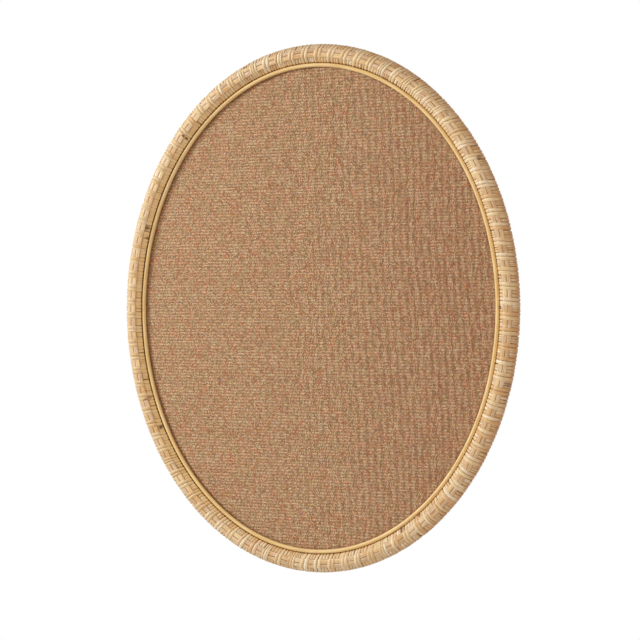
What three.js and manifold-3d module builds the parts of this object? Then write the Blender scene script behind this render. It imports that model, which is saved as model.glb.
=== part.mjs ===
// An oval pin board. A wooden ring, round in front and flat behind, is bound with split cane over two flat
// splints: the binding passes over both splints, then under both, all the way round. The ring holds a panel of
// cork and plywood covered with cloth, and a slim round reed covers the joint between cloth and binding.
// Millimetres. The front faces -Y, +Z is up, the wall is the plane y = 0, and the origin lies on the wall
// half-way between the pins of the two hangers.
import * as THREE from 'three';
import { mergeVertices } from 'three/addons/utils/BufferGeometryUtils.js';
import Module from 'manifold-3d';

const wasm = await Module();
wasm.setup();

// Size of the board over its binding
const boardWidth = 610;
const boardHeight = 762;

// Section of the bound ring
const bindingRadius = 14.4;
const flatBackDepth = 11;
const bindingWall = 1.8;

// Weave of the binding: one over band and one window to each pitch
const weavePitch = 20.6;
const overBandWidth = 10.4;
const wrapLengthCount = 10;
const sectionDivisions = 4;

// Splints, and the band of cane that arches over them
const splintWidth = 5.8;
const splintThickness = 1.2;
const splintLean = THREE.MathUtils.degToRad(2);
const bandThickness = 1;
const bandSideWall = 1;

// Clearances
const clearance = 0.3;
const overrun = 2;
const weldTolerance = 0.0005;

// Wooden ring: joints as shares of the way round from the top, and their dowels
const coreNames = ['core_top', 'core_right', 'core_bottom', 'core_left'];
const coreJointShares = [0.12, 0.38, 0.62, 0.88];
const dowelRadius = 3;
const dowelLength = 30;
const dowelSpacing = 10;
const dowelSides = 8;

// Reed bead: the joints between its lengths as shares of the way round from the top
const beadRadius = 2.7;
const beadSides = 8;
const beadJointShares = [0.074, 0.229, 0.408, 0.586, 0.765, 0.92];
const ovalStations = 72;

// Panel, from its cloth face backwards
const clothForward = 2.4;
const clothThickness = 0.8;
const clothHem = 14;
const corkThickness = 3.2;
const boardThickness = 4;
const panelGap = 0.5;

// Spring steel tabs behind the panel
const tabCount = 8;
const tabThickness = 0.6;
const tabWidth = 8;
const tabInWood = 8;
const tabOverPanel = 6;

// Strap hangers
const hangerSpacing = 280;
const hangerRise = 190;
const strapWidth = 9;
const strapThickness = 0.9;
const strapLength = 34;
const strapCornerRadius = 2.5;
const knuckleCurl = THREE.MathUtils.degToRad(290);
const knuckleDivisions = 10;
const ringWireRadius = 1;
const ringWidth = 14;
const ringDrop = 12;
const ringCornerRadius = 1.8;
const ringSides = 6;
const ringCurveDivisions = 6;

// Hanger screws
const screwRadius = 1.4;
const screwLength = 4.6;
const screwTip = 1.2;
const screwHeadRadius = 2.6;
const screwHeadHeight = 1.4;
const screwRimHeight = 0.5;
const screwCrownRadius = 1.5;
const screwSides = 10;
const screwDropShares = [0.515, 0.824];

// Felt pads on the back of the ring
const padRadius = 7.5;
const padThickness = 2.5;
const padSides = 16;
const padShares = [0.43, 0.57];

const materials = {
  cane: new THREE.MeshStandardMaterial({ color: 0xd8b98c, roughness: 0.5, metalness: 0 }),
  innerSplint: new THREE.MeshStandardMaterial({ color: 0xdca877, roughness: 0.5, metalness: 0 }),
  outerSplint: new THREE.MeshStandardMaterial({ color: 0xc9a68c, roughness: 0.55, metalness: 0 }),
  reed: new THREE.MeshStandardMaterial({ color: 0xdcbc88, roughness: 0.5, metalness: 0 }),
  wood: new THREE.MeshStandardMaterial({ color: 0xc8a06c, roughness: 0.7, metalness: 0 }),
  cloth: new THREE.MeshStandardMaterial({ color: 0xb08a66, roughness: 0.95, metalness: 0 }),
  cork: new THREE.MeshStandardMaterial({ color: 0xb98c5a, roughness: 0.9, metalness: 0 }),
  plywood: new THREE.MeshStandardMaterial({ color: 0xcdb48a, roughness: 0.75, metalness: 0 }),
  steel: new THREE.MeshStandardMaterial({ color: 0xb8b8b4, roughness: 0.35, metalness: 1 }),
  felt: new THREE.MeshStandardMaterial({ color: 0x6b5a48, roughness: 1, metalness: 0 }),
};

const board = new THREE.Group();
board.position.set(0, -(flatBackDepth + padThickness), -hangerRise);

// Solids

// The solid of a closed geometry. Corners that coincide are merged, and faces that this closes up are dropped.
function solidFrom(geometry) {
  const bare = geometry.clone();
  bare.deleteAttribute('normal');
  bare.deleteAttribute('uv');
  const merged = mergeVertices(bare);
  const triVerts = [];
  for (let i = 0; i < merged.index.count; i += 3) {
    const [a, b, c] = [0, 1, 2].map((corner) => merged.index.getX(i + corner));
    if (a !== b && b !== c && c !== a) triVerts.push(a, b, c);
  }
  return new wasm.Manifold(new wasm.Mesh({
    numProp: 3,
    vertProperties: new Float32Array(merged.attributes.position.array),
    triVerts: new Uint32Array(triVerts),
  }));
}

// The faceted geometry of a solid, with its coplanar faces joined.
function geometryFrom(solid) {
  const mesh = solid.asOriginal().simplify(weldTolerance).getMesh();
  const geometry = new THREE.BufferGeometry();
  geometry.setAttribute('position', new THREE.BufferAttribute(mesh.vertProperties, 3));
  geometry.setIndex(new THREE.BufferAttribute(mesh.triVerts, 1));
  const faceted = geometry.toNonIndexed();
  faceted.computeVertexNormals();
  return faceted;
}

function cutFrom(geometry, cutters) {
  const whole = cutters.reduce((solid, cutter) => solid.subtract(solidFrom(cutter)), solidFrom(geometry));
  return geometryFrom(whole);
}

function addPiece(name, geometry, material, parent = board) {
  const mesh = new THREE.Mesh(geometry, material);
  mesh.name = name;
  parent.add(mesh);
  return mesh;
}

// Way round the ring

// Centre line of the bound ring, clockwise from the top as seen from the front.
const ringLine = new THREE.EllipseCurve(
  0, 0,
  boardWidth / 2 - bindingRadius, boardHeight / 2 - bindingRadius,
  Math.PI / 2, Math.PI / 2 - 2 * Math.PI, true,
);
ringLine.arcLengthDivisions = 4000;
const ringLength = ringLine.getLength();

// The wrap lengths hold whole pitches, an even number each, so that the wood and the bore share stations.
const pitchesPerLength = 2 * Math.max(1, Math.round(ringLength / wrapLengthCount / weavePitch / 2));
const pitchCount = wrapLengthCount * pitchesPerLength;
const pitch = ringLength / pitchCount;
const bandWidth = pitch * (overBandWidth / weavePitch);

// A station is a place on the centre line with the outward direction there.
function stationAt(distance) {
  const share = THREE.MathUtils.euclideanModulo(distance / ringLength, 1);
  const tangent = ringLine.getTangentAt(share);
  return { point: ringLine.getPointAt(share), outward: new THREE.Vector2(-tangent.y, tangent.x) };
}

// A point of a section at a station: x is outwards from the centre line and y is forwards, towards the viewer.
function pointAt(station, { x, y }) {
  const { point, outward } = station;
  return new THREE.Vector3(point.x + outward.x * x, -y, point.y + outward.y * x);
}

function ringAt(distance, section) {
  const station = stationAt(distance);
  return section.map((corner) => pointAt(station, corner));
}

// Closed solid through rings of equal count, capped at both ends. The sections are convex.
function loft(rings) {
  const count = rings[0].length;
  const corners = rings.flat().flatMap((corner) => corner.toArray());
  const index = [];
  for (let r = 0; r + 1 < rings.length; r += 1) {
    for (let i = 0; i < count; i += 1) {
      const [a, b] = [r * count + i, r * count + ((i + 1) % count)];
      index.push(a, a + count, b, b, a + count, b + count);
    }
  }
  const last = (rings.length - 1) * count;
  for (let i = 1; i + 1 < count; i += 1) {
    index.push(0, i, i + 1, last, last + i + 1, last + i);
  }
  const geometry = new THREE.BufferGeometry();
  geometry.setAttribute('position', new THREE.Float32BufferAttribute(corners, 3));
  geometry.setIndex(index);
  return geometry;
}

// Frame at a station for a piece set into the ring: x outwards, y backwards, z along the ring.
function matrixAt(distance, section) {
  const station = stationAt(distance);
  const outward = new THREE.Vector3(station.outward.x, 0, station.outward.y);
  const back = new THREE.Vector3(0, 1, 0);
  const along = outward.clone().cross(back);
  return new THREE.Matrix4().makeBasis(outward, back, along).setPosition(pointAt(station, section));
}

// Sections of the bound ring

// Seat of the splints: a flat on the round, as wide as the pair and leaning outwards.
const seatHalfWidth = splintWidth + clearance;
const seatHalfAngle = Math.asin(seatHalfWidth / bindingRadius);
const seatHeight = bindingRadius * Math.cos(seatHalfAngle);
const splintFoot = seatHeight + clearance;
const splintTop = splintFoot + splintThickness;
const tunnelTop = splintTop + clearance;
const tunnelFloor = seatHeight + clearance / 3;
const tunnelHalfWidth = seatHalfWidth + clearance / 2;
const bandTop = tunnelTop + bandThickness;

// A point given across the seat and above the ring's centre, turned to the lean of the splints.
function onSeat(across, height) {
  return new THREE.Vector2(across, height).rotateAround(new THREE.Vector2(), -splintLean);
}

function onRound(angle) {
  return new THREE.Vector2(0, bindingRadius).rotateAround(new THREE.Vector2(), -angle);
}

// Outline of the binding, clockwise from the outer side of the seat: outer side, flat back, inner side.
function bindingSection() {
  const backAngle = Math.acos(-flatBackDepth / bindingRadius);
  const outerStart = splintLean + seatHalfAngle;
  const innerEnd = splintLean - seatHalfAngle;
  const outerSide = [];
  const innerSide = [];
  for (let i = 0; i <= sectionDivisions; i += 1) {
    const share = i / sectionDivisions;
    outerSide.push(onRound(THREE.MathUtils.lerp(outerStart, backAngle, share)));
    innerSide.push(onRound(THREE.MathUtils.lerp(-backAngle, innerEnd, share)));
  }
  return [...outerSide, ...innerSide];
}

// The same outline with its seat raised over the splints.
function overSection(section) {
  const raised = section.map((corner) => corner.clone());
  const halfWidth = tunnelHalfWidth + bandSideWall;
  raised[0] = onSeat(halfWidth, bandTop);
  raised[raised.length - 1] = onSeat(-halfWidth, bandTop);
  return raised;
}

// A convex clockwise outline with every edge moved inwards.
function insetSection(section, inset) {
  const edges = section.map((corner, i) => {
    const next = section[(i + 1) % section.length];
    const along = next.clone().sub(corner).normalize();
    const inwards = new THREE.Vector2(along.y, -along.x);
    return { start: corner.clone().addScaledVector(inwards, inset), along };
  });
  return edges.map((edge, i) => {
    const before = edges[(i + edges.length - 1) % edges.length];
    const gap = edge.start.clone().sub(before.start);
    const reach = gap.cross(edge.along) / before.along.cross(edge.along);
    return before.start.clone().addScaledVector(before.along, reach);
  });
}

const underSection = bindingSection();
const raisedSection = overSection(underSection);
const boreSection = insetSection(underSection, bindingWall);
const coreSection = insetSection(underSection, bindingWall + clearance);

// Cane binding

// Stations that the bore of the binding and the wood inside it share: one to every second pitch.
const boreStep = 2 * pitch;

// One length of binding outside: each pitch holds half a window, an over band and half a window.
function wrapBody(first, last) {
  const rings = [ringAt(first * pitch + clearance / 2, underSection)];
  for (let i = first; i < last; i += 1) {
    const middle = (i + 0.5) * pitch;
    rings.push(ringAt(middle - bandWidth / 2, underSection));
    rings.push(ringAt(middle - bandWidth / 2, raisedSection));
    rings.push(ringAt(middle + bandWidth / 2, raisedSection));
    rings.push(ringAt(middle + bandWidth / 2, underSection));
  }
  rings.push(ringAt(last * pitch - clearance / 2, underSection));
  return loft(rings);
}

function boreThrough(first, last) {
  const rings = [ringAt(first * pitch - overrun, boreSection)];
  for (let i = first; i <= last; i += 2) rings.push(ringAt(i * pitch, boreSection));
  rings.push(ringAt(last * pitch + overrun, boreSection));
  return loft(rings);
}

// The straight way of the splints under the over band between two windows. It clears the seat outside the band.
function tunnelUnder(i) {
  const section = [
    onSeat(tunnelHalfWidth, tunnelTop),
    onSeat(tunnelHalfWidth, tunnelFloor),
    onSeat(-tunnelHalfWidth, tunnelFloor),
    onSeat(-tunnelHalfWidth, tunnelTop),
  ];
  const [before, after] = [stationAt(i * pitch).point, stationAt((i + 1) * pitch).point];
  const along = after.clone().sub(before).normalize();
  const outward = new THREE.Vector2(-along.y, along.x);
  const middle = before.clone().lerp(after, 0.5);
  const reach = (bandWidth + overrun) / 2;
  const rings = [-reach, reach].map((distance) => {
    const station = { point: middle.clone().addScaledVector(along, distance), outward };
    return section.map((corner) => pointAt(station, corner));
  });
  return loft(rings);
}

// Panel tabs

const panelBack = clothForward - 2 * clothThickness - corkThickness - boardThickness;
const tabReach = tabInWood + tabOverPanel + panelGap + bindingWall + clearance;
const tabMiddle = -bindingRadius - panelGap - tabOverPanel + tabReach / 2;

function tabBlock(distance, growth) {
  const block = new THREE.BoxGeometry(tabReach + growth, tabThickness + growth, tabWidth + growth);
  const middle = new THREE.Vector2(tabMiddle, panelBack - tabThickness / 2);
  return block.applyMatrix4(matrixAt(distance, middle));
}

function tabDistance(i) {
  return ((i + 0.5) / tabCount) * ringLength;
}

for (let i = 0; i < tabCount; i += 1) {
  addPiece(`panel_tab_${i + 1}`, tabBlock(tabDistance(i), 0), materials.steel);
}

function tabSlots(from, to) {
  const slots = [];
  for (let i = 0; i < tabCount; i += 1) {
    const distance = tabDistance(i);
    const turnsBack = Math.ceil((distance - to) / ringLength);
    if (distance - turnsBack * ringLength > from) slots.push(tabBlock(distance, 2 * clearance));
  }
  return slots;
}

for (let i = 0; i < wrapLengthCount; i += 1) {
  const [first, last] = [i * pitchesPerLength, (i + 1) * pitchesPerLength];
  const name = `cane_wrap_${String(i + 1).padStart(2, '0')}`;
  const cutters = [boreThrough(first, last), ...tabSlots(first * pitch, last * pitch)];
  for (let k = first; k < last; k += 1) cutters.push(tunnelUnder(k));
  addPiece(name, cutFrom(wrapBody(first, last), cutters), materials.cane);
}

// Splints: each runs straight from window to window, once round, and meets its own end under an over band.
function splint(innerEdge, seamPitch) {
  const section = [
    onSeat(innerEdge + splintWidth, splintTop),
    onSeat(innerEdge + splintWidth, splintFoot),
    onSeat(innerEdge, splintFoot),
    onSeat(innerEdge, splintTop),
  ];
  const windows = [];
  for (let i = 0; i <= pitchCount + 1; i += 1) windows.push(ringAt((seamPitch + i) * pitch, section));
  const endShare = 0.5 + clearance / 2 / pitch;
  const start = windows[0].map((corner, i) => corner.clone().lerp(windows[1][i], endShare));
  const end = windows[pitchCount + 1].map((corner, i) => corner.clone().lerp(windows[pitchCount][i], endShare));
  return loft([start, ...windows.slice(1, -1), end]);
}

const bottomPitch = Math.floor(pitchCount / 2);
addPiece('inner_splint', splint(-splintWidth - clearance / 2, bottomPitch), materials.innerSplint);
addPiece('outer_splint', splint(clearance / 2, bottomPitch + 1), materials.outerSplint);

// Wooden ring

const boreCount = pitchCount / 2;
const coreJoints = coreJointShares.map((share) => Math.round(share * boreCount));

function dowelBlock(distance, side, radius, length) {
  const dowel = new THREE.CylinderGeometry(radius, radius, length, dowelSides);
  dowel.rotateX(Math.PI / 2);
  const section = new THREE.Vector2((side * dowelSpacing) / 2, 0);
  return dowel.applyMatrix4(matrixAt(distance, section));
}

function jointCutters(joint) {
  const radius = (dowelRadius + clearance) / Math.cos(Math.PI / dowelSides);
  return [-1, 1].map((side) => dowelBlock(joint * boreStep, side, radius, dowelLength + 2 * clearance));
}

coreJoints.forEach((joint, i) => {
  const before = coreJoints[(i + coreJoints.length - 1) % coreJoints.length];
  const start = before < joint ? before : before - boreCount;
  const rings = [ringAt(start * boreStep + clearance / 2, coreSection)];
  for (let k = start + 1; k < joint; k += 1) rings.push(ringAt(k * boreStep, coreSection));
  rings.push(ringAt(joint * boreStep - clearance / 2, coreSection));
  const slots = tabSlots(start * boreStep, joint * boreStep);
  const cutters = [...jointCutters(before), ...jointCutters(joint), ...slots];
  addPiece(coreNames[i], cutFrom(loft(rings), cutters), materials.wood);
  const jointName = coreNames[i].replace('core', 'dowel');
  addPiece(`${jointName}_inner`, dowelBlock(joint * boreStep, -1, dowelRadius, dowelLength), materials.wood);
  addPiece(`${jointName}_outer`, dowelBlock(joint * boreStep, 1, dowelRadius, dowelLength), materials.wood);
});

// Reed bead: it lies on the cloth with a flat of its section and leans on the binding.
const beadForward = clothForward + beadRadius * Math.cos(Math.PI / beadSides);
const beadDistance = bindingRadius + clearance + beadRadius;
const beadInset = Math.sqrt(beadDistance ** 2 - beadForward ** 2);

function beadLength(from, to) {
  const middle = new THREE.Vector2(-beadInset, beadForward);
  const section = [];
  for (let i = 0; i < beadSides; i += 1) {
    const angle = -((i + 0.5) / beadSides) * 2 * Math.PI;
    section.push(new THREE.Vector2(0, beadRadius).rotateAround(new THREE.Vector2(), angle).add(middle));
  }
  const steps = Math.round(((to - from) / ringLength) * ovalStations);
  const rings = [ringAt(from + clearance / 2, section)];
  for (let i = 1; i < steps; i += 1) rings.push(ringAt(THREE.MathUtils.lerp(from, to, i / steps), section));
  rings.push(ringAt(to - clearance / 2, section));
  return loft(rings);
}

beadJointShares.forEach((share, i) => {
  const next = beadJointShares[(i + 1) % beadJointShares.length];
  const end = next > share ? next : next + 1;
  addPiece(`edge_bead_${i + 1}`, beadLength(share * ringLength, end * ringLength), materials.reed);
});

// Panel

// An oval plate set inwards from the ring's centre line, between two planes given forwards of that line.
function ovalPlate(inset, front, back) {
  const outline = [];
  for (let i = 0; i < ovalStations; i += 1) {
    const { x, z } = pointAt(stationAt((i / ovalStations) * ringLength), new THREE.Vector2(-inset, 0));
    outline.push(new THREE.Vector2(x, z));
  }
  const plate = new THREE.ExtrudeGeometry(new THREE.Shape(outline), {
    depth: front - back,
    bevelEnabled: false,
  });
  return plate.rotateX(Math.PI / 2).translate(0, -back, 0);
}

const panelInset = bindingRadius + panelGap;
const clothBack = clothForward - clothThickness;
const corkBack = clothBack - corkThickness;
const boardBack = corkBack - boardThickness;

// The cloth goes round the edge of the panel and is glued down behind it in a hem.
const clothBag = ovalPlate(panelInset, clothForward, panelBack);
const clothRoom = ovalPlate(panelInset + clothThickness, clothBack, boardBack);
const hemOpening = ovalPlate(panelInset + clothHem, clothBack, panelBack - overrun);
addPiece('cloth_cover', cutFrom(clothBag, [clothRoom, hemOpening]), materials.cloth);

const coreInset = panelInset + clothThickness + clearance;
addPiece('cork_sheet', ovalPlate(coreInset, clothBack, corkBack), materials.cork);

// Strap hangers

const screwDrops = screwDropShares.map((share) => share * strapLength);

function screwHole(x, drop, radius, length) {
  const hole = new THREE.CylinderGeometry(radius, radius, length, screwSides);
  return hole.translate(x, -boardBack, hangerRise - drop);
}

const holeRadius = (screwRadius + clearance) / Math.cos(Math.PI / screwSides);
const hangerPlaces = [['left', -hangerSpacing / 2], ['right', hangerSpacing / 2]];

const boardHoles = hangerPlaces.flatMap(([, x]) => (
  screwDrops.map((drop) => screwHole(x, drop, holeRadius, 2 * boardThickness + overrun))
));
addPiece('backing_board', cutFrom(ovalPlate(coreInset, corkBack, boardBack), boardHoles), materials.plywood);

const knuckleInner = ringWireRadius + clearance;
const knuckleOuter = knuckleInner + strapThickness;

// Side view of the strap, x behind the board's back and y above the ring's pin: a plate curled at its top.
function strapProfile() {
  const profile = new THREE.Shape();
  profile.moveTo(0, -strapLength);
  profile.lineTo(strapThickness, -strapLength);
  profile.lineTo(strapThickness, 0);
  profile.absarc(knuckleOuter, 0, knuckleInner, Math.PI, Math.PI - knuckleCurl, true);
  profile.absarc(knuckleOuter, 0, knuckleOuter, Math.PI - knuckleCurl, Math.PI, false);
  profile.lineTo(0, -strapLength);
  return profile;
}

// Front view of the strap, which rounds its lower corners.
function strapOutline() {
  const half = strapWidth / 2;
  const [low, high] = [-strapLength, knuckleOuter + overrun];
  const outline = new THREE.Shape();
  outline.moveTo(half, high);
  outline.lineTo(-half, high);
  outline.lineTo(-half, low + strapCornerRadius);
  outline.quadraticCurveTo(-half, low, -half + strapCornerRadius, low);
  outline.lineTo(half - strapCornerRadius, low);
  outline.quadraticCurveTo(half, low, half, low + strapCornerRadius);
  return outline;
}

function strap() {
  const curled = new THREE.ExtrudeGeometry(strapProfile(), {
    depth: strapWidth,
    bevelEnabled: false,
    curveSegments: knuckleDivisions,
  });
  // The profile's x turns to +Y and its y to +Z, so that the extrusion runs along X.
  const turn = new THREE.Matrix4().makeBasis(
    new THREE.Vector3(0, 1, 0),
    new THREE.Vector3(0, 0, 1),
    new THREE.Vector3(1, 0, 0),
  );
  curled.applyMatrix4(turn).translate(-strapWidth / 2, 0, 0);
  const depth = 2 * knuckleOuter + 2 * overrun;
  const blank = new THREE.ExtrudeGeometry(strapOutline(), {
    depth,
    bevelEnabled: false,
    curveSegments: 2,
  });
  blank.rotateX(Math.PI / 2).translate(0, depth - overrun, 0);
  const holes = screwDrops.map((drop) => (
    new THREE.CylinderGeometry(holeRadius, holeRadius, depth, screwSides).translate(0, 0, -drop)
  ));
  const trimmed = solidFrom(curled).intersect(solidFrom(blank));
  return geometryFrom(holes.reduce((solid, hole) => solid.subtract(solidFrom(hole)), trimmed));
}

// D-ring: a wire bent to a straight pin and a rounded bow, with its ends meeting at the middle of the pin.
function hangingRing() {
  const half = ringWidth / 2;
  const bow = ringDrop - ringCornerRadius;
  const line = new THREE.Path();
  line.moveTo(-clearance / 2, 0);
  line.lineTo(-half + ringCornerRadius, 0);
  line.quadraticCurveTo(-half, 0, -half, -ringCornerRadius);
  line.absellipse(0, -ringCornerRadius, half, bow, Math.PI, 2 * Math.PI, false);
  line.quadraticCurveTo(half, 0, half - ringCornerRadius, 0);
  line.lineTo(clearance / 2, 0);
  const points = line.getPoints(ringCurveDivisions).filter((point, i, all) => (
    i === 0 || point.distanceTo(all[i - 1]) > ringWireRadius / 4
  ));
  const rings = points.map((point, i) => {
    const before = points[Math.max(i - 1, 0)];
    const after = points[Math.min(i + 1, points.length - 1)];
    const along = after.clone().sub(before).normalize();
    const ring = [];
    for (let k = 0; k < ringSides; k += 1) {
      const angle = (k / ringSides) * 2 * Math.PI;
      const side = Math.cos(angle) * ringWireRadius;
      const back = Math.sin(angle) * ringWireRadius;
      ring.push(new THREE.Vector3(point.x - along.y * side, back, point.y + along.x * side));
    }
    return ring;
  });
  return loft(rings);
}

function screw() {
  const profile = [
    [0, -screwLength],
    [screwRadius, -screwLength + screwTip],
    [screwRadius, 0],
    [screwHeadRadius, 0],
    [screwHeadRadius, screwRimHeight],
    [screwCrownRadius, screwHeadHeight],
    [0, screwHeadHeight],
  ];
  return new THREE.LatheGeometry(profile.map(([x, y]) => new THREE.Vector2(x, y)), screwSides);
}

hangerPlaces.forEach(([side, x]) => {
  const hanger = new THREE.Group();
  hanger.position.set(x, -boardBack, hangerRise);
  board.add(hanger);
  addPiece(`hanger_strap_${side}`, strap(), materials.steel, hanger);
  const ring = addPiece(`hanger_ring_${side}`, hangingRing(), materials.steel, hanger);
  ring.position.y = knuckleOuter;
  screwDrops.forEach((drop, i) => {
    const piece = addPiece(`hanger_screw_${side}_${i + 1}`, screw(), materials.steel, hanger);
    piece.position.set(0, strapThickness, -drop);
  });
});

// Felt pads on the flat back of the ring at the bottom, where the board rests on the wall
padShares.forEach((share, i) => {
  const pad = new THREE.CylinderGeometry(padRadius, padRadius, padThickness, padSides);
  const { point } = stationAt(share * ringLength);
  pad.translate(point.x, flatBackDepth + padThickness / 2, point.y);
  addPiece(`felt_pad_${i === 0 ? 'right' : 'left'}`, pad, materials.felt);
});

export default board;
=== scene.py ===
import math
import random

import bpy
import numpy as np
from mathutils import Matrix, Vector


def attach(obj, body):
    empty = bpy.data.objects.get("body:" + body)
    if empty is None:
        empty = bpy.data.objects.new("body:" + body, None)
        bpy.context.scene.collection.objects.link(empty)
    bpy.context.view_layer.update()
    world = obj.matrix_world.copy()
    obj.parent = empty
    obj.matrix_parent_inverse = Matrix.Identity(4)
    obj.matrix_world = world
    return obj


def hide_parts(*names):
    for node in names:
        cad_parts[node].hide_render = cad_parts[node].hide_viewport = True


# An oval pin board: cane wound over two splints on a wooden ring, a reed bead, and cloth stretched over cork.
# Metres. The front faces -Y and +Z is up. What goes round the oval is first made straight, along +X, with +Y
# outwards and +Z forwards, and is then bent round the ring's centre line.

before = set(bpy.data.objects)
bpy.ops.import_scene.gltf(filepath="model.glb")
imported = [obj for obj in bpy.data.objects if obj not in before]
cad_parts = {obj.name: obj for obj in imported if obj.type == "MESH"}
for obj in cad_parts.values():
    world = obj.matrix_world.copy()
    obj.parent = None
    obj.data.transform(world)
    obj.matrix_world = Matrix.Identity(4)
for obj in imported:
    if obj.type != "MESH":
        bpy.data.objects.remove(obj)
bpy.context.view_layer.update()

# Ring
RING_HALF_WIDTH = 0.2906
RING_HALF_HEIGHT = 0.3666
RING_CENTRE = (0, -0.0135, -0.190)
ANGLE_STEPS = 720
PITCH_COUNT = 100
WRAP_COUNT = 10

# Section of the bound ring: distances from its centre. A turn of cane has three: of its front, of the parts
# beside that, and of its flanks. They are measured in the direction that the splints face, which leans a
# little outwards.
CREST = 0.0142
FLAT_BACK = 0.0108
SEAT_LEAN = math.radians(2)
OVER_SECTION = (0.0157, 0.0149, 0.0118)
UNDER_SECTION = (0.0136, 0.0130, 0.01135)
SECTION_SIDES = 24

# Strip of cane. Its shoulder is the share of its width that slopes down at each edge. Its share of the UV map
# is a little under 1, so that the edges of neighbouring turns don't share a number.
STRIP_WIDTH = 0.0060
STRIP_THICKNESS = 0.0010
STRIP_SHOULDER = 0.24
STRIP_UV_SHARE = 0.98

# Turns of cane in one pitch: the numbers to choose from, the share of the pitch that lies over the splints,
# and how much all of it varies, as work by hand does
WINDING_SEED = 11
UNDER_COUNTS = (2, 2, 3)
OVER_COUNTS = (2, 2, 2, 2, 3)
OVER_SHARE = 0.54
SHARE_SPREAD = 0.03
MIDDLE_SPREAD = 0.0003
PITCH_SLANT_SPREAD = 0.02
TURN_SLANT_SPREAD = 0.012
TILT_SPREAD = 0.01
WIDTH_RANGE = (0.93, 1.03)
SIZE_RANGE = (0.988, 1.011)

# Slant of the turns at equal steps round the ring from the top, as the photograph shows them
SLANTS = (
    0.22, 0.28, 0.30, 0.28, 0.22, 0.05, 0.0, 0.0, 0.12, 0.2,
    0.2, 0.16, 0.18, 0.18, 0.10, 0.0, 0.0, 0.02, 0.06, 0.16,
)

# Brown marks on the cane, mostly where an end is tucked in: share of the way round, distance outwards from
# the centre line, radius and strength
STAINS = (
    (0.148, 0.009, 0.004, 0.8), (0.249, -0.012, 0.0035, 1.0), (0.300, 0.010, 0.006, 0.5),
    (0.411, -0.011, 0.003, 0.9), (0.427, -0.010, 0.006, 0.6), (0.430, 0.002, 0.005, 0.5),
    (0.661, -0.004, 0.0035, 0.8), (0.660, -0.010, 0.0035, 1.1), (0.682, -0.003, 0.005, 0.7),
    (0.684, -0.009, 0.004, 0.6), (0.803, -0.011, 0.003, 1.0), (0.809, -0.002, 0.005, 0.7),
    (0.811, -0.008, 0.005, 0.9), (0.883, -0.004, 0.003, 1.1), (0.884, -0.009, 0.0025, 1.2),
    (0.950, 0.008, 0.004, 0.6),
)

# How far from the board's middle the cane's painted light and shade of the left and right side begin, and are
# full
SIDE_FADE = (0.08, 0.26)

# Splints. They dip beneath the over turns and rise a little between them.
INNER_SPLINT_WIDTH = 0.0069
OUTER_SPLINT_WIDTH = 0.0059
SPLINT_FOOT = 0.0136
SPLINT_THICKNESS = 0.0012
SPLINT_GAP = 0.0002
SPLINT_CURVE = 0.044
SPLINT_ROUNDING = 0.0004
SPLINT_DIP = 0.0004
SPLINT_RISE = 0.00015

# Bead. Its joints are shares of the way round, each with its gap.
BEAD_RADIUS = 0.00285
BEAD_INSET = 0.0164
BEAD_FORWARD = 0.0050
BEAD_JOINTS = (0.074, 0.229, 0.408, 0.586, 0.765, 0.92)
BEAD_GAPS = (0.00008, 0.0005, 0.00008, 0.00008, 0.00025, 0.00008)
BEAD_STEPS = 160
BEAD_SIDES = 16
BEAD_END_ROUNDING = 0.0004
BEAD_END_SWELL = 0.0002

# Cloth
PANEL_INSET = 0.0149
CLOTH_FORWARD = 0.0024
CLOTH_BACK = -0.0064
CLOTH_HEM = 0.014
CLOTH_THICKNESS = 0.0008
CLOTH_STEPS = 200
WARP_PITCH = 0.00155
WEFT_PITCH = 0.001443
STRIPE_PITCH = 0.0105
WEFTS_PER_BAND = 3

# Fibres to a metre in cloth, plywood and felt, and granules to a metre in cork
FIBRES = 2600.0
GRANULES = 420.0

# Corners this close are one, between copies laid end to end and in a piece that is bent. Corners this close
# to the cloth's front lie in it.
SEAM = 0.00002
BENT_SEAM = 0.00005
IN_FRONT = 0.0001

# Studio
MIDDLE = Vector((0, -0.015, -0.190))
CAMERA_AZIMUTH = math.radians(22.06)
CAMERA_DISTANCE = 2.4
CAMERA_LENS = 93.62
AIM_RIGHT = 0.0083
AIM_UP = -0.0166
FLOOR_HEIGHT = -0.95


# Working in edit mode

def deselect_all():
    bpy.ops.object.select_all(action="DESELECT")


def select_only(piece):
    deselect_all()
    piece.select_set(True)
    bpy.context.view_layer.objects.active = piece


def everywhere(place):
    return True


def in_edit_mode(piece, test, select="VERT"):
    """Opens a piece for editing with only the corners, edges or faces selected that pass the test.
    A corner is tested by its place, an edge by the places of its ends, and a face by its normal."""
    mesh = piece.data
    places = [corner.co.copy() for corner in mesh.vertices]
    if select == "VERT":
        corners = {i for i, place in enumerate(places) if test(place)}
        edges = [all(i in corners for i in edge.vertices) for edge in mesh.edges]
        faces = [all(i in corners for i in face.vertices) for face in mesh.polygons]
    elif select == "EDGE":
        edges = [test(*(places[i] for i in edge.vertices)) for edge in mesh.edges]
        corners = {i for edge, chosen in zip(mesh.edges, edges) if chosen for i in edge.vertices}
        faces = [False] * len(mesh.polygons)
    else:
        faces = [test(face.normal) for face in mesh.polygons]
        corners = {i for face, chosen in zip(mesh.polygons, faces) if chosen for i in face.vertices}
        sides = {key for face, chosen in zip(mesh.polygons, faces) if chosen for key in face.edge_keys}
        edges = [edge.key in sides for edge in mesh.edges]
    mesh.vertices.foreach_set("select", [i in corners for i in range(len(places))])
    mesh.edges.foreach_set("select", edges)
    mesh.polygons.foreach_set("select", faces)
    select_only(piece)
    bpy.context.tool_settings.mesh_select_mode = [select == kind for kind in ("VERT", "EDGE", "FACE")]
    bpy.ops.object.mode_set(mode="EDIT")


def out_of_edit_mode():
    bpy.ops.object.mode_set(mode="OBJECT")


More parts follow.
